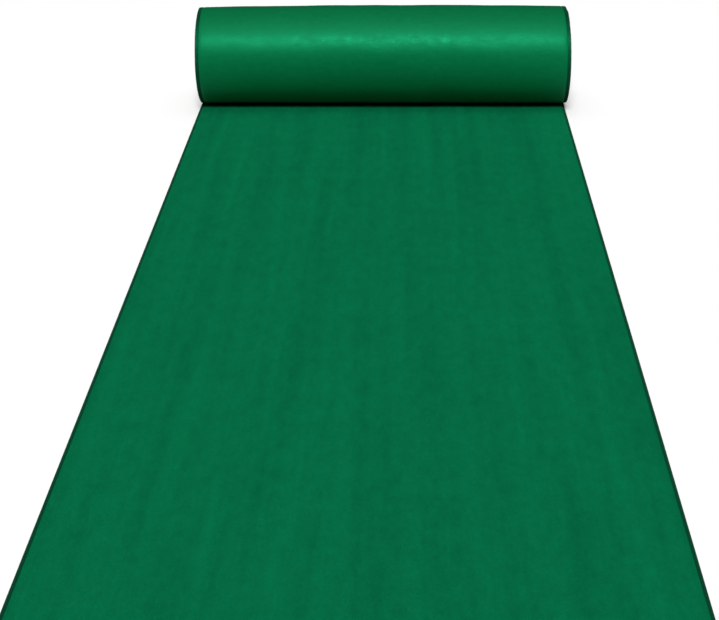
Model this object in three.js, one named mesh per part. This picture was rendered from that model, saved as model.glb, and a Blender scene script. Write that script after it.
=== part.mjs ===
// A practice putting mat, partly unrolled. One long sheet, turf on a coloured backing with
// oversewn edges, lies flat and is wound turf side in on a cardboard core at its far end.
//
// Millimetres, +Z up. The mat runs along Y with its roll at +Y, and X is across it. The origin
// is on the floor, under the middle of the part's box.
//
// The sheet is made in three stretches, because each moves differently when the roll travels:
//   flat        lies on the floor and stays there
//   outer_wrap  the last turn, which rises behind the roll; it travels but never turns
//   coil        the turns inside it, which turn with the core
import * as THREE from "three";

// Driving dimensions of the mat and of its core.
const matWidth = 500;
const matLength = 3000;
const turfThickness = 2.9;
const backingThickness = 1.0;
const bindingWidth = 3.2;
const coreBore = 76;
const coreWall = 4;
const tapeThickness = 0.5;
const tapeWidth = 50;
const tapeLength = 480;

// Driving dimensions of the roll: its radius where the sheet leaves it at the floor, and the
// space left between neighbours that touch on the real mat.
const rollRadius = 68.2;
const gap = 0.3;

// Each turn is drawn with this many flats.
const facetsPerTurn = 48;

// The sheet's section, as depths up from its underside.
const sheetThickness = backingThickness + gap + turfThickness;
const layers = {
  backing: { from: 0, to: backingThickness },
  turf: { from: backingThickness + gap, to: sheetThickness },
  binding: { from: 0, to: sheetThickness },
};
const halfWidth = matWidth / 2;
const clothHalfWidth = halfWidth - bindingWidth - gap;

// The winding: each turn lies one pitch inside the last, until the turf meets the tape.
const turn = 2 * Math.PI;
const pitch = sheetThickness + gap;
const coreRadius = coreBore / 2 + coreWall;
const innermostRadius = coreRadius + gap + tapeThickness + gap;
const turns = (rollRadius - sheetThickness - innermostRadius) / pitch;
const middleRadius = rollRadius - sheetThickness / 2;
const woundLength = turn * (middleRadius * turns - (pitch * turns ** 2) / 2);

// Places along Y. The flat stretch ends where the sheet starts to lift.
const flatLength = matLength - woundLength;
const rollY = (flatLength - rollRadius) / 2;
const nearEndY = rollY - flatLength;
const liftAngle = Math.acos(1 - (sheetThickness + gap) / rollRadius);
const flatEndY = rollY + rollRadius * Math.sin(liftAngle) - 2 * gap;

const material = (colour, roughness) =>
  new THREE.MeshStandardMaterial({ color: colour, roughness, metalness: 0 });
const materials = {
  turf: material(0x076842, 0.95),
  backing: material(0x05653a, 0.45),
  binding: material(0x0a3c28, 0.65),
  cardboard: material(0xaa8d6c, 0.9),
  tape: material(0xd7ceb6, 0.5),
};

const mat = new THREE.Group();

function addSolid(name, geometry, look) {
  const mesh = new THREE.Mesh(geometry, materials[look]);
  mesh.name = name;
  mat.add(mesh);
}

// A box between two corners.
function boxSolid(low, high) {
  const size = high.map((value, i) => value - low[i]);
  const middle = high.map((value, i) => (value + low[i]) / 2);
  return new THREE.BoxGeometry(...size).translate(...middle);
}

// A point of the roll's section, as (y, z). Angles start at the floor and grow the way the
// sheet is wound: up the back, over the top and down the front.
function rollPoint(radius, angle) {
  const y = rollY + radius * Math.sin(angle);
  const z = rollRadius - radius * Math.cos(angle);
  return new THREE.Vector2(y, z);
}

// Carries a section drawn in (y, z) across the mat from one x to another.
function acrossSolid(section, fromX, toX) {
  const options = { depth: toX - fromX, bevelEnabled: false, steps: 1 };
  const sectionToMat = new THREE.Matrix4().makeBasis(
    new THREE.Vector3(0, 1, 0),
    new THREE.Vector3(0, 0, 1),
    new THREE.Vector3(1, 0, 0),
  );
  const solid = new THREE.ExtrudeGeometry(section, options);
  return solid.applyMatrix4(sectionToMat).translate(fromX, 0, 0);
}

// Part of the wound sheet: a band between two depths and two angles, where outsideRadius(angle)
// is the radius of the sheet's underside. The steps fall on one fixed set of angles, so that
// the flats of neighbouring turns are parallel, and none is shorter than a tenth of a step.
function woundSection(layer, fromAngle, toAngle, outsideRadius) {
  const step = turn / facetsPerTurn;
  const shortest = step / 10;
  const angles = [fromAngle];
  for (let k = Math.ceil((fromAngle + shortest) / step); k * step < toAngle - shortest; k += 1) {
    angles.push(k * step);
  }
  angles.push(toAngle);
  const outside = angles.map((a) => rollPoint(outsideRadius(a) - layer.from, a));
  const inside = angles.map((a) => rollPoint(outsideRadius(a) - layer.to, a));
  return new THREE.Shape([...outside, ...inside.reverse()]);
}

// One stretch of the sheet: its turf, its backing and the binding along both edges.
function addStretch(stretch, solid) {
  addSolid(`turf_${stretch}`, solid(layers.turf, -clothHalfWidth, clothHalfWidth), "turf");
  addSolid(`backing_${stretch}`, solid(layers.backing, -clothHalfWidth, clothHalfWidth), "backing");
  const inner = halfWidth - bindingWidth;
  addSolid(`left_edge_binding_${stretch}`, solid(layers.binding, -halfWidth, -inner), "binding");
  addSolid(`right_edge_binding_${stretch}`, solid(layers.binding, inner, halfWidth), "binding");
}

// The flat stretch begins behind the binding of its near end.
const clothStartY = nearEndY + bindingWidth + gap;
addStretch("flat", (layer, fromX, toX) =>
  boxSolid([fromX, clothStartY, layer.from], [toX, flatEndY, layer.to]));
addSolid(
  "near_end_binding",
  boxSolid([-halfWidth, nearEndY, 0], [halfWidth, nearEndY + bindingWidth, sheetThickness]),
  "binding",
);

// The outer wrap keeps one radius, and starts and ends high enough to pass over the flat sheet.
addStretch("outer_wrap", (layer, fromX, toX) =>
  acrossSolid(woundSection(layer, liftAngle, turn - liftAngle, () => rollRadius), fromX, toX));

// The coil carries the winding on from its second turn to its inner end.
const spiralRadius = (angle) => rollRadius - (pitch * angle) / turn;
const endAngle = turns * turn;
const bindingAngle = bindingWidth / innermostRadius;
const clothEndAngle = endAngle - bindingAngle - gap / innermostRadius;
addStretch("coil", (layer, fromX, toX) =>
  acrossSolid(woundSection(layer, turn, clothEndAngle, spiralRadius), fromX, toX));
addSolid(
  "inner_end_binding",
  acrossSolid(
    woundSection(layers.binding, endAngle - bindingAngle, endAngle, spiralRadius),
    -halfWidth,
    halfWidth,
  ),
  "binding",
);

// The cardboard core, a tube as long as the mat is wide.
function ringSection(outerRadius, innerRadius) {
  const circle = (radius) =>
    Array.from({ length: facetsPerTurn }, (_, k) => rollPoint(radius, (k * turn) / facetsPerTurn));
  const section = new THREE.Shape(circle(outerRadius));
  section.holes.push(new THREE.Path(circle(innerRadius)));
  return section;
}
addSolid("core_tube", acrossSolid(ringSection(coreRadius, coreBore / 2), -halfWidth, halfWidth),
  "cardboard");

// The tape that holds the inner end of the sheet on the core lies between the two.
const tapeAngle = tapeWidth / innermostRadius;
addSolid(
  "start_tape",
  acrossSolid(
    woundSection({ from: 0, to: tapeThickness }, endAngle - tapeAngle, endAngle,
      () => coreRadius + gap + tapeThickness),
    -tapeLength / 2,
    tapeLength / 2,
  ),
  "tape",
);

export default mat;
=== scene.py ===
"""A practice putting mat, partly unrolled on a pale floor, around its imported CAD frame.

The mat is one sheet. Its soft pieces are described in the sheet's own coordinates and then
placed, flat or wound, by put(): x runs across the mat, s is the length along it from its near
end, and d is the depth up from its underside. Everything is in metres.
"""

import math

import bpy
import numpy as np
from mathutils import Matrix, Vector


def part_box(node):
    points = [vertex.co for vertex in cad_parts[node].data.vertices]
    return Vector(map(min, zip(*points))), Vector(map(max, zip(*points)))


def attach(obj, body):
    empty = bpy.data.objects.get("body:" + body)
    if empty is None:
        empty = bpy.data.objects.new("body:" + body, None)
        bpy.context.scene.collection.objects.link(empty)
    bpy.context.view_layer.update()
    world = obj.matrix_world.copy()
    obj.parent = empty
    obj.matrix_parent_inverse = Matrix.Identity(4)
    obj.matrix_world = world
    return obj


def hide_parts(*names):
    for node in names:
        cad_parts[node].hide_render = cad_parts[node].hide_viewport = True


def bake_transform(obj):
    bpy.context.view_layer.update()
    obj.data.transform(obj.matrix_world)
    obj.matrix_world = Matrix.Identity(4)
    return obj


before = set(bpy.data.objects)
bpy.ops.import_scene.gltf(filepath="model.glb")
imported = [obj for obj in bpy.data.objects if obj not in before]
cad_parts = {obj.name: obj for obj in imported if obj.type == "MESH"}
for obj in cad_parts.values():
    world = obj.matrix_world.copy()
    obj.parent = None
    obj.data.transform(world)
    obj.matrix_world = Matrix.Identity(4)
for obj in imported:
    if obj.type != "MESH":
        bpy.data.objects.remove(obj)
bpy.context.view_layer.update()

MM = 0.001
TURN = 2 * math.pi
rng = np.random.default_rng(7)

# ------------------------------------------------------------ sizes, taken from the frame
near_low, near_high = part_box("near_end_binding")
_, backing_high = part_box("backing_flat")
turf_low, turf_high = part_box("turf_flat")
edge_low, edge_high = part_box("right_edge_binding_flat")
wrap_low, wrap_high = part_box("backing_outer_wrap")
core_low, core_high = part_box("core_tube")
tape_low, tape_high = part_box("start_tape")

HALF_WIDTH = near_high[0]
WIDTH = 2 * HALF_WIDTH
NEAR_Y = near_low[1]
THICKNESS = turf_high[2]
BACKING = backing_high[2]
BINDING = edge_high[0] - edge_low[0]
TURN_GAP = turf_low[2] - backing_high[2]
RADIUS = (wrap_high[1] - wrap_low[1]) / 2
ROLL_Y = (wrap_high[1] + wrap_low[1]) / 2
CORE_RADIUS = (core_high[1] - core_low[1]) / 2
# The frame's boxes don't give these: the core's wall, how far the joint of its plies advances
# in a turn and how wide it is, and the tape's thickness and its width along the sheet.
CORE_WALL = 4 * MM
BORE_RADIUS = CORE_RADIUS - CORE_WALL
PLY_ADVANCE = 110 * MM
PLY_JOINT = 0.9 * MM
TAPE = 0.5 * MM
TAPE_WIDTH = 50 * MM

# The winding: each turn lies one pitch inside the last, until the turf meets the tape.
PITCH = THICKNESS + TURN_GAP
INNERMOST = CORE_RADIUS + 2 * TURN_GAP + TAPE
TURNS = (RADIUS - THICKNESS - INNERMOST) / PITCH
END_ANGLE = TURNS * TURN
MIDDLE = RADIUS - THICKNESS / 2
FLAT = ROLL_Y - NEAR_Y


def wound_length(angle):
    """Length of sheet in the roll up to an angle, measured along its middle."""
    return MIDDLE * angle - PITCH * angle**2 / (2 * TURN)


LENGTH = FLAT + wound_length(END_ANGLE)

# ------------------------------------------------------------ how the real sheet differs
# The hand-wound roll is fuller in its middle and at its right end, and its skin is uneven. The
# innermost turn has lost most of that fullness.
CROWN = 2.3 * MM
CROWN_LOST_INSIDE = 0.8
TAPER = 0.9 * MM
DENT = 0.5 * MM
# It was wound a little askew: the outer turn creeps to the right, and the turns inside it wander.
# The sheet also spreads a little where it comes down the front of the roll.
DRIFT = 1.7 * MM
WANDER = 0.8 * MM
SPREAD = 0.0072
SPREAD_LOST = 0.0025
# Winding angles, from the floor up the back, over the top and down the front: how far from the
# floor the dents fade in, and from where and over what angle the drift and the spreads set in.
# The last number is how fast the inner turns wander with the angle.
DENTS_FADE = 0.6
DRIFT_FROM, DRIFT_OVER = 2.7, 1.7
SPREAD_FROM, SPREAD_OVER = 3.1, 1.3
SPREAD_LOST_FROM, SPREAD_LOST_OVER = 4.7, 1.2
WANDER_PER_ANGLE = 1.7
# The turf's top is uneven.
UNEVEN = 0.12 * MM
# The stitches of the edges reach further in on the underside than on the turf, where the pile
# hides their ends. Under them each face is pinched in. From a little before their inner ends it
# comes up again over a short run. The joint between the layers rises with the underside, and
# the layers are drawn a hair apart.
TURF_REACH = 3.1 * MM
UNDER_REACH = 5.2 * MM
TURF_PINCH = 0.85 * MM
UNDER_PINCH = 0.7 * MM
PINCH_LEAD = 1.2 * MM
PINCH_RUN = 4.4 * MM
PINCHED_JOINT_RISE = 0.3 * MM
LAYER_GAP = 0.01 * MM
# Distances from an edge at which the pinched border needs a row of points.
BORDER = np.array([0.7, 1.6, 2.4, 3.0, 3.5, 4.0, 4.5, 5.2, 6.5, 9.0]) * MM

# The edge thread's radius, and the distance from one stitch to the next.
THREAD = 0.43 * MM
STITCH = 1.5 * MM
# The coil is a piece of its own, which turns, so it starts clear of the turn that it carries on.
COIL_CLEARANCE = 0.1 * MM


def smooth(t):
    t = np.clip(t, 0, 1)
    return t * t * (3 - 2 * t)


class Ripple:
    """A smooth random height from 0 to 1 over the sheet, made of crossing waves."""

    def __init__(self, shortest, longest, waves=16):
        length = np.exp(rng.uniform(math.log(shortest), math.log(longest), waves))
        way = rng.uniform(0, math.pi, waves)
        self.kx = TURN * np.cos(way) / length
        self.ks = TURN * np.sin(way) / length
        self.phase = rng.uniform(0, TURN, waves)

    def __call__(self, x, s):
        total = sum(
            np.sin(kx * x + ks * s + phase)
            for kx, ks, phase in zip(self.kx, self.ks, self.phase)
        )
        return 0.5 + 0.5 * np.tanh(total / math.sqrt(len(self.kx)))


skin_dents = Ripple(45 * MM, 160 * MM)
turf_swells = Ripple(35 * MM, 140 * MM)


def angle_at(s):
    """The winding angle at a length along the sheet; 0 on the flat stretch."""
    inside = np.maximum(s - FLAT, 0)
    root = np.sqrt(np.maximum(MIDDLE**2 - 2 * PITCH * inside / TURN, 0))
    return (MIDDLE - root) * TURN / PITCH


def bulge(x, s, angle):
    """How far the roll stands out of a true spiral; nothing where it lies on the floor."""
    across = x / HALF_WIDTH
    swell = CROWN * (1 - across**2) + TAPER * across
    swell = swell * (1 - CROWN_LOST_INSIDE * angle / END_ANGLE) * (1 - np.cos(angle)) / 2
    last_turn = smooth(angle / DENTS_FADE) * smooth((TURN - angle) / DENTS_FADE)
    return swell + DENT * skin_dents(x, s) * last_turn


def wound_x(x, angle):
    """Where a place across the sheet comes to lie once the sheet is wound to an angle."""
    drift = DRIFT * smooth((angle - DRIFT_FROM) / DRIFT_OVER)
    wander = WANDER * smooth((angle - TURN) / TURN) * np.sin(WANDER_PER_ANGLE * angle)
    spread = SPREAD * smooth((angle - SPREAD_FROM) / SPREAD_OVER)
    spread = spread - SPREAD_LOST * smooth((angle - SPREAD_LOST_FROM) / SPREAD_LOST_OVER)
    return x * (1 + spread) + drift + wander


def put(x, s, d):
    """Places points of the sheet, as rows of (x, y, z)."""
    x, s, d = np.broadcast_arrays(*(np.asarray(v, float) for v in (x, s, d)))
    angle = angle_at(s)
    radius = RADIUS - PITCH * angle / TURN + bulge(x, s, angle) - d
    wound = s > FLAT
    y = np.where(wound, ROLL_Y + radius * np.sin(angle), NEAR_Y + s)
    z = np.where(wound, RADIUS - radius * np.cos(angle), d)
    return np.stack([wound_x(x, angle), y, z], axis=-1)


def put_round(x, angle, radius):
    """Places points about the roll's axis; angles start at the floor and go up the back."""
    x, angle, radius = np.broadcast_arrays(x, angle, radius)
    y = ROLL_Y + radius * np.sin(angle)
    z = RADIUS - radius * np.cos(angle)
    return np.stack([x, y, z], axis=-1)


# ------------------------------------------------------------ mesh helpers
class Builder:
    """Gathers the solids of one piece. uv holds each point's (x, s), for the materials."""

    def __init__(self):
        self.points, self.uv, self.faces, self.count = [], [], [], 0

    def add(self, points, uv, faces, flip=False):
        points = np.asarray(points, float).reshape(-1, 3)
        self.points.append(points)
        self.uv.append(np.asarray(uv, float).reshape(-1, 2))
        for face in faces:
            moved = tuple(i + self.count for i in face)
            self.faces.append(moved[::-1] if flip else moved)
        self.count += len(points)

    def piece(self, name, material, slot, girth=None):
        """Makes the object.

        A tube made of quads gives its girth, for the faces where its uv starts again.
        """
        mesh = bpy.data.meshes.new(name)
        mesh.from_pydata(np.concatenate(self.points).tolist(), [], self.faces)
        corner = np.zeros(len(mesh.loops), np.int32)
        mesh.loops.foreach_get("vertex_index", corner)
        uv = np.concatenate(self.uv)[corner]
        if girth:
            around = uv.reshape(-1, 4, 2)[:, :, 1]
            around += girth * (around < around.max(axis=1, keepdims=True) - girth / 2)
        mesh.uv_layers.new(name="sheet").data.foreach_set("uv", uv.astype(np.float32).ravel())
        mesh.shade_smooth()
        mesh.materials.append(material)
        piece = bpy.data.objects.new(name, mesh)
        bpy.context.scene.collection.objects.link(piece)
        return piece


def tube_faces(rings, sides):
    """Faces of a tube whose points go ring by ring, capped at both ends."""
    faces = []
    for a in range(rings - 1):
        for i in range(sides):
            j = (i + 1) % sides
            faces.append((a * sides + i, a * sides + j, (a + 1) * sides + j, (a + 1) * sides + i))
    faces.append(tuple(range(sides))[::-1])
    faces.append(tuple((rings - 1) * sides + i for i in range(sides)))
    return faces


def slab_faces(columns, rows):
    """Faces of a closed slab: a top grid of rows x columns points, then a bottom one."""
    top = np.arange(columns * rows).reshape(rows, columns)
    bottom = top + columns * rows

    def band(a, b, c, d):
        return np.stack([a, b, c, d], axis=-1).reshape(-1, 4)

    faces = [
        band(top[:-1, :-1], top[:-1, 1:], top[1:, 1:], top[1:, :-1]),
        band(bottom[:-1, :-1], bottom[1:, :-1], bottom[1:, 1:], bottom[:-1, 1:]),
        band(top[:-1, 0], top[1:, 0], bottom[1:, 0], bottom[:-1, 0]),
        band(top[:-1, -1], bottom[:-1, -1], bottom[1:, -1], top[1:, -1]),
        band(top[0, :-1], bottom[0, :-1], bottom[0, 1:], top[0, 1:]),
        band(top[-1, :-1], top[-1, 1:], bottom[-1, 1:], bottom[-1, :-1]),
    ]
    return np.concatenate(faces).tolist()


def spaced(start, end, step):
    return np.linspace(start, end, max(1, round((end - start) / step)) + 1)


# ------------------------------------------------------------ materials
class Look:
    """A Principled material, with short ways to add the nodes that these looks share."""

    # How far from its middle value a noise still counts as part of a curl.
    CURL_WIDTH = 0.11

    def __init__(self, name, colour, roughness):
        self.material = bpy.data.materials.new(name)
        self.material.use_nodes = True
        self.nodes = self.material.node_tree.nodes
        self.links = self.material.node_tree.links
        self.shader = self.nodes["Principled BSDF"]
        self.colour = colour
        self.shader.inputs["Base Color"].default_value = (*colour, 1)
        self.shader.inputs["Roughness"].default_value = roughness

    def feed(self, socket, source):
        if isinstance(source, (int, float)):
            socket.default_value = source
        else:
            self.links.new(source, socket)

    def sheet_place(self, scale_x=1.0, scale_s=1.0):
        """The point's place on the sheet, in metres, stretched by two scales."""
        uv = self.nodes.new("ShaderNodeUVMap")
        uv.uv_map = "sheet"
        mapping = self.nodes.new("ShaderNodeMapping")
        mapping.inputs["Scale"].default_value = (scale_x, scale_s, 1)
        self.links.new(uv.outputs["UV"], mapping.inputs["Vector"])
        return mapping.outputs["Vector"]

    def noise(self, place, per_metre, detail=2.0, roughness=0.5, distortion=0.0):
        node = self.nodes.new("ShaderNodeTexNoise")
        node.inputs["Scale"].default_value = per_metre
        node.inputs["Detail"].default_value = detail
        node.inputs["Roughness"].default_value = roughness
        node.inputs["Distortion"].default_value = distortion
        self.links.new(place, node.inputs["Vector"])
        return node.outputs["Fac"]

    def curls(self, place, per_metre, distortion):
        """Thin winding lines, like matted fibres: 1 along their middles, 0 between them."""
        line = self.noise(place, per_metre, 1, 0.5, distortion)
        away = self.nodes.new("ShaderNodeMath")
        away.operation = "SUBTRACT"
        away.inputs[1].default_value = 0.5
        self.links.new(line, away.inputs[0])
        away_size = self.nodes.new("ShaderNodeMath")
        away_size.operation = "ABSOLUTE"
        self.links.new(away.outputs[0], away_size.inputs[0])
        height = self.nodes.new("ShaderNodeMapRange")
        height.interpolation_type = "SMOOTHSTEP"
        height.inputs["From Max"].default_value = self.CURL_WIDTH
        height.inputs["To Min"].default_value = 1
        height.inputs["To Max"].default_value = 0
        self.links.new(away_size.outputs[0], height.inputs["Value"])
        return height.outputs["Result"]

    def helical_joint(self, advance, girth, width):
        """1 on a line that runs round a tube and advances along x by a length each turn."""
        turns = self.nodes.new("ShaderNodeVectorMath")
        turns.operation = "DOT_PRODUCT"
        turns.inputs[1].default_value = (1 / advance, 1 / girth, 0)
        self.links.new(self.sheet_place(), turns.inputs[0])
        fraction = self.nodes.new("ShaderNodeMath")
        fraction.operation = "FRACT"
        self.links.new(turns.outputs["Value"], fraction.inputs[0])
        line = self.nodes.new("ShaderNodeMath")
        line.operation = "LESS_THAN"
        line.inputs[1].default_value = width / advance
        self.links.new(fraction.outputs[0], line.inputs[0])
        return line.outputs[0]

    def vary(self, middle, *terms):
        """A value that swings about its middle by an amount for each (pattern, amount)."""
        total = middle - sum(amount for _, amount in terms) / 2
        for pattern, amount in terms:
            node = self.nodes.new("ShaderNodeMath")
            node.operation = "MULTIPLY_ADD"
            self.links.new(pattern, node.inputs[0])
            node.inputs[1].default_value = amount
            self.feed(node.inputs[2], total)
            total = node.outputs[0]
        return total

    def shade(self, *terms):
        """Lightens and darkens the base colour by the given shares."""
        colour = self.nodes.new("ShaderNodeVectorMath")
        colour.operation = "SCALE"
        colour.inputs[0].default_value = self.colour
        self.links.new(self.vary(1, *terms), colour.inputs["Scale"])
        self.links.new(colour.outputs[0], self.shader.inputs["Base Color"])

    def vary_roughness(self, middle, *terms):
        self.links.new(self.vary(middle, *terms), self.shader.inputs["Roughness"])

    def bump(self, height, distance, strength=1.0):
        node = self.nodes.new("ShaderNodeBump")
        node.inputs["Strength"].default_value = strength
        node.inputs["Distance"].default_value = distance
        self.links.new(height, node.inputs["Height"])
        self.links.new(node.outputs["Normal"], self.shader.inputs["Normal"])


# Dyed fibres, latex and thread all shine green.
GREEN_GLINT = (0.04, 1.0, 0.46, 1)


def turf_look():
    """Needle-punched pile: matted fibres, a soft mottle and faint streaks along the mat."""
    look = Look("turf", (0.0018, 0.1503, 0.0587), 0.95)
    look.shader.inputs["Specular IOR Level"].default_value = 0.03
    look.shader.inputs["Specular Tint"].default_value = GREEN_GLINT
    flat, lengthwise = look.sheet_place(), look.sheet_place(1, 0.4)
    fibres = look.curls(look.sheet_place(1, 0.8), 620, 1.6)
    under_fibres = look.curls(look.sheet_place(0.8, 1), 900, 2.2)
    tufts = look.noise(lengthwise, 260, 3, 0.6, 0.4)
    mottle = look.noise(lengthwise, 100, 2, 0.5)
    patches = look.noise(flat, 14, 2)
    streaks = look.noise(look.sheet_place(1, 0.03), 40, 3, 0.6)
    look.shade(
        (fibres, 0.2), (under_fibres, 0.13), (tufts, 0.2), (mottle, 0.28), (patches, 0.14),
        (streaks, 0.5),
    )
    look.bump(look.vary(0, (fibres, 0.8), (under_fibres, 0.4), (tufts, 1.0)), 0.35 * MM, 0.6)
    return look.material


def backing_look():
    """The latex-coated underside: the fibres show through a thin, softly glossy skin."""
    look = Look("backing", (0.0012, 0.129, 0.0411), 0.46)
    look.shader.inputs["Specular IOR Level"].default_value = 0.48
    look.shader.inputs["Specular Tint"].default_value = GREEN_GLINT
    flat = look.sheet_place()
    fibres = look.curls(look.sheet_place(0.8, 1), 480, 1.8)
    specks = look.noise(flat, 900, 3, 0.7)
    grain = look.noise(look.sheet_place(0.5, 1), 330, 3, 0.65, 0.6)
    mottle = look.noise(look.sheet_place(0.8, 1), 130, 1, 0.5)
    lumps = look.noise(look.sheet_place(1, 1.3), 50, 2, 0.5)
    patches = look.noise(flat, 18, 2)
    look.shade((fibres, 0.12), (specks, 0.14), (grain, 0.14), (mottle, 0.16), (patches, 0.12))
    look.vary_roughness(0.46, (specks, 0.8), (mottle, 0.16), (lumps, 0.11))
    relief = look.vary(
        0, (fibres, 0.12), (specks, 0.1), (grain, 0.4), (mottle, 0.6), (lumps, 0.9)
    )
    look.bump(relief, 0.4 * MM, 0.4)
    return look.material


def thread_look():
    """Twisted dark green polyester thread."""
    look = Look("edge_thread", (0.003, 0.045, 0.021), 0.62)
    look.shader.inputs["Specular IOR Level"].default_value = 0.3
    look.shader.inputs["Specular Tint"].default_value = GREEN_GLINT
    flat = look.sheet_place()
    twist = look.noise(flat, 2600, 2)
    wear = look.noise(flat, 60, 3)
    look.shade((twist, 0.5), (wear, 0.3))
    look.bump(twist, 0.15 * MM, 0.5)
    return look.material


def cardboard_look():
    """Wound kraft board: long grey-brown fibres and the helical joint of its plies."""
    look = Look("core_cardboard", (0.4, 0.265, 0.15), 0.88)
    look.shader.inputs["Specular IOR Level"].default_value = 0.25
    flat = look.sheet_place()
    fibres = look.noise(look.sheet_place(1, 0.35), 900, 3, 0.7)
    blotches = look.noise(flat, 45, 3, 0.6)
    joint = look.helical_joint(PLY_ADVANCE, TURN * CORE_RADIUS, PLY_JOINT)
    look.shade((fibres, 0.35), (blotches, 0.3), (joint, -0.5))
    look.bump(look.vary(0, (fibres, 1), (joint, -2)), 0.2 * MM, 0.5)
    return look.material


def tape_look():
    """Creamy double-sided tape."""
    look = Look("start_tape_paper", (0.68, 0.62, 0.47), 0.5)
    creases = look.noise(look.sheet_place(), 300, 3)
    look.shade((creases, 0.12))
    look.bump(creases, 0.1 * MM, 0.4)
    return look.material


TURF, UNDERSIDE, EDGE_THREAD = turf_look(), backing_look(), thread_look()
CARDBOARD, TAPE_PAPER = cardboard_look(), tape_look()

# ------------------------------------------------------------ the sheet's two layers
# Steps of the grids: round the roll, along the flat stretch, across the outer and the inner
# cloth, and along the bindings of the two ends.
WOUND_STEP = math.radians(3)
FLAT_STEP = 8 * MM
OUTER_STEP = 8 * MM
INNER_STEP = 40 * MM
END_STEP = 10 * MM


def pinch(x, s, reach):
    """From 0 in the open cloth to 1 under stitches that reach this far in from an edge."""
    edge = np.minimum(HALF_WIDTH - np.abs(x), np.minimum(s, LENGTH - s))
    return 1 - smooth((edge - reach + PINCH_LEAD) / PINCH_RUN)


def turf_top(x, s):
    return THICKNESS - TURF_PINCH * pinch(x, s, TURF_REACH) + UNEVEN * (2 * turf_swells(x, s) - 1)


def turf_bottom(x, s):
    return backing_top(x, s) + LAYER_GAP


def backing_top(x, s):
    return BACKING + PINCHED_JOINT_RISE * pinch(x, s, UNDER_REACH)


def backing_bottom(x, s):
    return UNDER_PINCH * pinch(x, s, UNDER_REACH)


def wound_rows(from_angle, to_angle):
    return FLAT + wound_length(spaced(from_angle, to_angle, WOUND_STEP))


def layer(name, material, slot, top, bottom, across, along):
    """One layer of the sheet over a grid of places across and along it."""
    x, s = np.meshgrid(across, along)
    points = np.concatenate([put(x, s, top(x, s)), put(x, s, bottom(x, s))])
    place = np.stack([x, s], axis=-1)
    built = Builder()
    built.add(points, np.concatenate([place, place]), slab_faces(len(across), len(along)))
    return built.piece(name, material, slot)


def columns(step):
    inner = spaced(-HALF_WIDTH + BORDER[-1], HALF_WIDTH - BORDER[-1], step)
    border = HALF_WIDTH - BORDER[:-1]
    return np.concatenate([-border, inner, border[::-1]])


unrolled_rows = np.concatenate(
    [BORDER[:-1], spaced(BORDER[-1], FLAT, FLAT_STEP), wound_rows(0, TURN)[1:]]
)
coil_rows = np.concatenate(
    [
        wound_rows(TURN + COIL_CLEARANCE / RADIUS, angle_at(LENGTH - BORDER[-1])),
        LENGTH - BORDER[-2::-1],
    ]
)
wide, narrow = columns(OUTER_STEP), columns(INNER_STEP)

turf_unrolled = layer("turf_unrolled", TURF, "turf", turf_top, turf_bottom, wide, unrolled_rows)
backing_unrolled = layer(
    "backing_unrolled", UNDERSIDE, "backing", backing_top, backing_bottom, wide, unrolled_rows
)
turf_coil = layer("turf_coil_cloth", TURF, "turf", turf_top, turf_bottom, narrow, coil_rows)
backing_coil = layer(
    "backing_coil_cloth", UNDERSIDE, "backing", backing_top, backing_bottom, narrow, coil_rows
)


# ------------------------------------------------------------ the oversewn edges
# The solids of an edge are drawn in (along, inward, d): places along the edge, distances in from
# it and depths. Each entry turns the first two into the sheet's (x, s), and says whether that
# turns the faces of the solid inside out.
EDGES = {
    "left": (lambda along, inward: (-HALF_WIDTH + inward, along), True),
    "right": (lambda along, inward: (HALF_WIDTH - inward, along), False),
    "near": (lambda along, inward: (along, inward), False),
    "inner": (lambda along, inward: (along, LENGTH - inward), True),
}

# One stitch: (distance in from the edge, depth, share of the stitch's advance).
STITCH_PATH = np.array(
    [
        (TURF_REACH, THICKNESS - 1.0 * MM, 0.0),
        (TURF_REACH - 0.4 * MM, THICKNESS - THREAD, 0.05),
        (1.40 * MM, THICKNESS - 0.9 * THREAD, 0.2),
        (0.80 * MM, THICKNESS - 1.5 * THREAD, 0.32),
        (THREAD, THICKNESS - 3.2 * THREAD, 0.42),
        (THREAD, THICKNESS / 2, 0.5),
        (THREAD, 3.2 * THREAD, 0.58),
        (0.80 * MM, 1.5 * THREAD, 0.68),
        (2.60 * MM, THREAD, 0.8),
        (UNDER_REACH - 0.4 * MM, THREAD, 0.95),
        (UNDER_REACH, 1.0 * MM, 1.0),
    ]
)
STITCH_SIDES = 5
STITCH_JITTER = 0.05 * MM
# The cloth's edge inside the stitches, as (distance in, depth) round its section.
FELLED = np.array(
    [
        (0.75 * MM, 1.3 * MM),
        (1.2 * MM, 0.75 * MM),
        (3.4 * MM, 0.8 * MM),
        (3.4 * MM, THICKNESS - 0.8 * MM),
        (1.2 * MM, THICKNESS - 0.7 * MM),
        (0.75 * MM, THICKNESS - 1.3 * MM),
    ]
)
# The needle thread runs along the edge over the stitches' inner ends.
NEEDLE_INWARD = TURF_REACH - 0.1 * MM
NEEDLE_RISE = 0.12 * MM
NEEDLE_RADIUS = 0.8 * THREAD
# The stitches and the needle thread start and end this far inside the ends of their edge.
SEWN_INSET = 1.5 * THREAD


def edge_solid(built, edge, along, inward, depth, faces):
    """Adds a solid given in an edge's own coordinates."""
    to_sheet, inside_out = EDGES[edge]
    x, s = to_sheet(along, inward)
    x, s, depth = np.broadcast_arrays(x, s, depth)
    built.add(put(x, s, depth), np.stack([x, s], axis=-1), faces, flip=inside_out)


def felled_edge(built, edge, stations):
    """The bar of folded cloth ends and inner thread that the stitches go round."""
    along = stations[:, None]
    faces = tube_faces(len(stations), len(FELLED))
    edge_solid(built, edge, along, FELLED[:, 0], FELLED[:, 1], faces)


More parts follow.
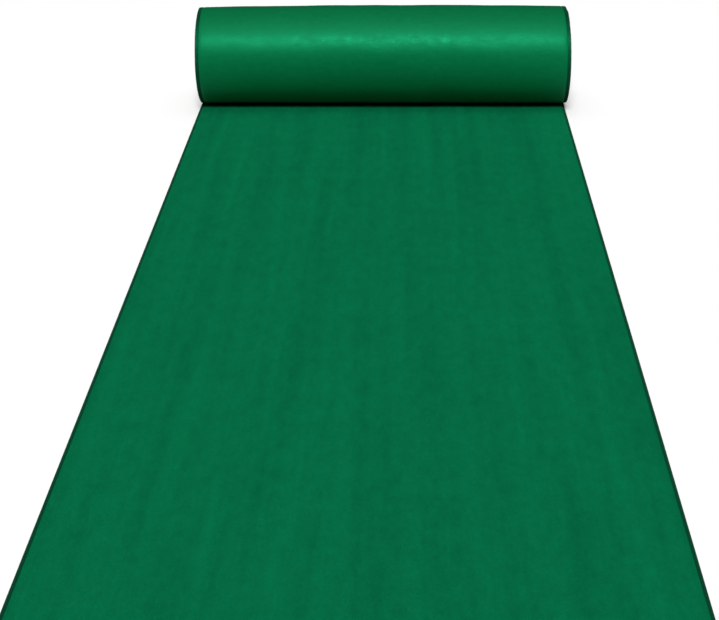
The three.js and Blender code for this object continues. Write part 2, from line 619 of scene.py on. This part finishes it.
def stitches(built, edge, start, end):
    """The overlock stitches from start to end along an edge, each a short bent tube."""
    count = max(1, round((end - start) / STITCH))
    advance = (end - start) / count
    inward, depth, share = STITCH_PATH.T
    way = np.gradient(STITCH_PATH[:, :2], axis=0)
    way /= np.linalg.norm(way, axis=1, keepdims=True)
    turn = np.linspace(0, TURN, STITCH_SIDES, endpoint=False)
    side, lift = THREAD * np.cos(turn), THREAD * np.sin(turn)
    ring_inward = inward[:, None] - way[:, 1:2] * side
    ring_depth = depth[:, None] + way[:, 0:1] * side
    ring_along = (share * advance)[:, None] + lift
    starts = start + advance * np.arange(count)
    jitter = rng.normal(0, STITCH_JITTER, count)
    faces = tube_faces(len(STITCH_PATH), STITCH_SIDES)
    for at, shift in zip(starts, jitter):
        edge_solid(built, edge, at + shift + ring_along, ring_inward, ring_depth, faces)


def needle_thread(built, edge, start, end):
    """A thread that dips between the stitches, on the turf side."""
    along = spaced(start, end, STITCH / 2)
    dip = NEEDLE_RISE * np.where(np.arange(len(along)) % 2, 1, -1)
    turn = np.linspace(0, TURN, STITCH_SIDES, endpoint=False)
    inward = NEEDLE_INWARD + NEEDLE_RADIUS * np.cos(turn)
    depth = THICKNESS - THREAD + dip[:, None] + NEEDLE_RADIUS * np.sin(turn)
    faces = tube_faces(len(along), STITCH_SIDES)
    edge_solid(built, edge, along[:, None], inward, depth, faces)


def binding(name, edge, stations):
    built = Builder()
    felled_edge(built, edge, stations)
    start, end = stations[0] + SEWN_INSET, stations[-1] - SEWN_INSET
    stitches(built, edge, start, end)
    needle_thread(built, edge, start, end)
    return built.piece(name, EDGE_THREAD, "edge_binding")


side_unrolled = np.concatenate([[BINDING], unrolled_rows[unrolled_rows > BINDING + MM]])
side_coil = np.concatenate([coil_rows[coil_rows < LENGTH - BINDING - MM], [LENGTH - BINDING]])
across_rows = spaced(-HALF_WIDTH, HALF_WIDTH, END_STEP)

bindings_unrolled = [binding(f"{e}_binding_unrolled", e, side_unrolled) for e in ("left", "right")]
bindings_coil = [binding(f"{e}_binding_coil", e, side_coil) for e in ("left", "right")]
near_binding = binding("near_end_binding_thread", "near", across_rows)
inner_binding = binding("inner_end_binding_thread", "inner", across_rows)

# ------------------------------------------------------------ the core and its tape
CORE_SIDES = 96
PLIES = 5
# At the core's ends each ply stops a little short, by chance, and its corners are rounded by a
# share of its thickness. The grooves between plies have their bottoms just outside the joints.
PLY_UNEVEN = 0.15 * MM
PLY_ROUNDING = 0.2
PLY_GROOVE = 0.2 * MM
GROOVE_OUT = 0.02 * MM
CHAMFER = 0.25 * MM
# The core's bore is cut every so often along it, from a little way in from its ends.
CORE_INSET = 2 * MM
CORE_STEP = 25 * MM
TAPE_STEP = 12 * MM


def core_end(sign):
    """Half the core's profile, from its bore out, as (x, radius): plies with fine joints."""
    ply = CORE_WALL / PLIES
    profile = []
    for k in range(PLIES):
        face = HALF_WIDTH - rng.uniform(0, PLY_UNEVEN)
        inner, outer = BORE_RADIUS + k * ply, BORE_RADIUS + (k + 1) * ply
        profile.append((face - PLY_GROOVE, inner + GROOVE_OUT))
        profile.append((face, inner + PLY_ROUNDING * ply))
        profile.append((face, outer - PLY_ROUNDING * ply))
    profile.append((face - CHAMFER, outer))
    return [(sign * x, radius) for x, radius in profile]


def core_piece():
    right, left = core_end(1), core_end(-1)
    reach = HALF_WIDTH - CORE_INSET
    inside = [(x, BORE_RADIUS) for x in spaced(-reach, reach, CORE_STEP)]
    outside = [(reach, CORE_RADIUS), (-reach, CORE_RADIUS)]
    profile = np.array(inside + right + outside + left[::-1])
    angle = np.linspace(0, TURN, CORE_SIDES, endpoint=False)[:, None]
    points = put_round(profile[:, 0], angle, profile[:, 1])
    x, along = np.broadcast_arrays(profile[:, 0], angle * CORE_RADIUS)
    count, faces = len(profile), []
    for a in range(CORE_SIDES):
        b = (a + 1) % CORE_SIDES
        for i in range(count):
            j = (i + 1) % count
            faces.append((a * count + j, b * count + j, b * count + i, a * count + i))
    built = Builder()
    built.add(points, np.stack([x, along], axis=-1), faces)
    return built.piece("core_tube_board", CARDBOARD, "core", girth=TURN * CORE_RADIUS)


def tape_piece():
    across = spaced(tape_low[0], tape_high[0], TAPE_STEP)
    angles = spaced(END_ANGLE - TAPE_WIDTH / INNERMOST, END_ANGLE, WOUND_STEP)
    x, angle = np.meshgrid(across, angles)
    low = CORE_RADIUS + TURN_GAP
    points = np.concatenate([put_round(x, angle, low), put_round(x, angle, low + TAPE)])
    place = np.stack([x, angle * CORE_RADIUS], axis=-1)
    built = Builder()
    built.add(points, np.concatenate([place, place]), slab_faces(len(across), len(angles)))
    return built.piece("start_tape_strip", TAPE_PAPER, "tape")


core = core_piece()
tape = tape_piece()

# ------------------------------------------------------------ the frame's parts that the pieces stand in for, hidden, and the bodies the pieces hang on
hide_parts("turf_flat", "turf_outer_wrap")
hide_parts("backing_flat", "backing_outer_wrap")
for side, piece in zip(("left", "right"), bindings_unrolled):
    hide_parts(f"{side}_edge_binding_flat", f"{side}_edge_binding_outer_wrap")
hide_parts("turf_coil")
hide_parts("backing_coil")
for side, piece in zip(("left", "right"), bindings_coil):
    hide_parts(f"{side}_edge_binding_coil")
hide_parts("near_end_binding")
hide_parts("inner_end_binding")
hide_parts("core_tube")
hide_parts("start_tape")

# The unrolled pieces keep their placing baked into their meshes and hang on no body.
for piece in (turf_unrolled, backing_unrolled, *bindings_unrolled):
    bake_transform(piece)
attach(near_binding, "mat")
for piece in (turf_coil, backing_coil, *bindings_coil, inner_binding, core, tape):
    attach(piece, "roll_coil")


# ------------------------------------------------------------ floor, light and camera
FLOOR_REACH, FLOOR_SIDES = 12.0, 64
# The floor and the backdrop look white, but they throw less light on the mat than that, and
# show darker in its gloss.
FLOOR = {"seen": 0.93, "gives": 0.6, "mirrored": 0.2}
SKY = {"seen": 1.0, "gives": 0.07, "mirrored": 0.02}


def by_ray(tree, seen, gives, mirrored):
    """One value where the camera sees a thing, one for its light and one for its reflections."""
    ray = tree.nodes.new("ShaderNodeLightPath")
    unseen = tree.nodes.new("ShaderNodeMapRange")
    unseen.inputs["To Min"].default_value = gives
    unseen.inputs["To Max"].default_value = mirrored
    tree.links.new(ray.outputs["Is Glossy Ray"], unseen.inputs["Value"])
    value = tree.nodes.new("ShaderNodeMapRange")
    tree.links.new(unseen.outputs["Result"], value.inputs["To Min"])
    value.inputs["To Max"].default_value = seen
    tree.links.new(ray.outputs["Is Camera Ray"], value.inputs["Value"])
    return value.outputs["Result"]


def stage_floor():
    mesh = bpy.data.meshes.new("floor")
    angles = [TURN * k / FLOOR_SIDES for k in range(FLOOR_SIDES)]
    rim = [(FLOOR_REACH * math.cos(a), FLOOR_REACH * math.sin(a), 0) for a in angles]
    mesh.from_pydata(rim, [], [tuple(range(FLOOR_SIDES))])
    floor = bpy.data.objects.new("floor", mesh)
    look = Look("floor_white", (1, 1, 1), 0.9)
    look.shader.inputs["Specular IOR Level"].default_value = 0.1
    whiteness = by_ray(look.material.node_tree, **FLOOR)
    look.links.new(whiteness, look.shader.inputs["Base Color"])
    mesh.materials.append(look.material)
    bpy.context.scene.collection.objects.link(floor)


# A soft key light stands in front, on the camera's side. A second one is nearly overhead, and a
# broad fill, which gloss doesn't show, hangs above.
KEY = {"height": 48.5, "strength": 3.05, "size": 18}
OVERHEAD = {"height": 92, "strength": 0.54, "size": 60, "in_gloss": False}
TOP = {"height": 80, "strength": 0.41, "size": 25}


def sun(name, height, strength, size, in_gloss=True):
    """A distant light at a height in degrees, measured up from the near end's horizon."""
    lamp = bpy.data.lights.new(name, "SUN")
    lamp.energy, lamp.angle = strength, math.radians(size)
    holder = bpy.data.objects.new(name, lamp)
    holder.rotation_euler = (math.radians(90 - height), 0, 0)
    holder.visible_glossy = in_gloss
    bpy.context.scene.collection.objects.link(holder)


def sky():
    world = bpy.data.worlds.new("studio")
    world.use_nodes = True
    background = world.node_tree.nodes["Background"]
    background.inputs["Color"].default_value = (1, 1, 1, 1)
    strength = by_ray(world.node_tree, **SKY)
    world.node_tree.links.new(strength, background.inputs["Strength"])
    bpy.context.scene.world = world


# The camera stands off the near end, a little to the right of the mat's middle line.
CAMERA_BACK = 4.404 * WIDTH
CAMERA_RIGHT = 0.0732 * WIDTH
CAMERA_HEIGHT = 1.326 * WIDTH
CAMERA_DOWN = math.radians(23.92)
CAMERA_SENSOR = 36
CAMERA_LENS = 82.2
CAMERA_SHIFT = -0.0691


def camera():
    eye = bpy.data.cameras.new("camera")
    eye.sensor_width, eye.lens, eye.shift_x = CAMERA_SENSOR, CAMERA_LENS, CAMERA_SHIFT
    holder = bpy.data.objects.new("camera", eye)
    holder.location = (CAMERA_RIGHT, ROLL_Y - CAMERA_BACK, CAMERA_HEIGHT)
    holder.rotation_euler = (math.pi / 2 - CAMERA_DOWN, 0, 0)
    bpy.context.scene.collection.objects.link(holder)
    bpy.context.scene.camera = holder


stage_floor()
sun("key", **KEY)
sun("overhead", **OVERHEAD)
sun("top", **TOP)
sky()
camera()
bpy.context.scene.view_settings.view_transform = "Standard"
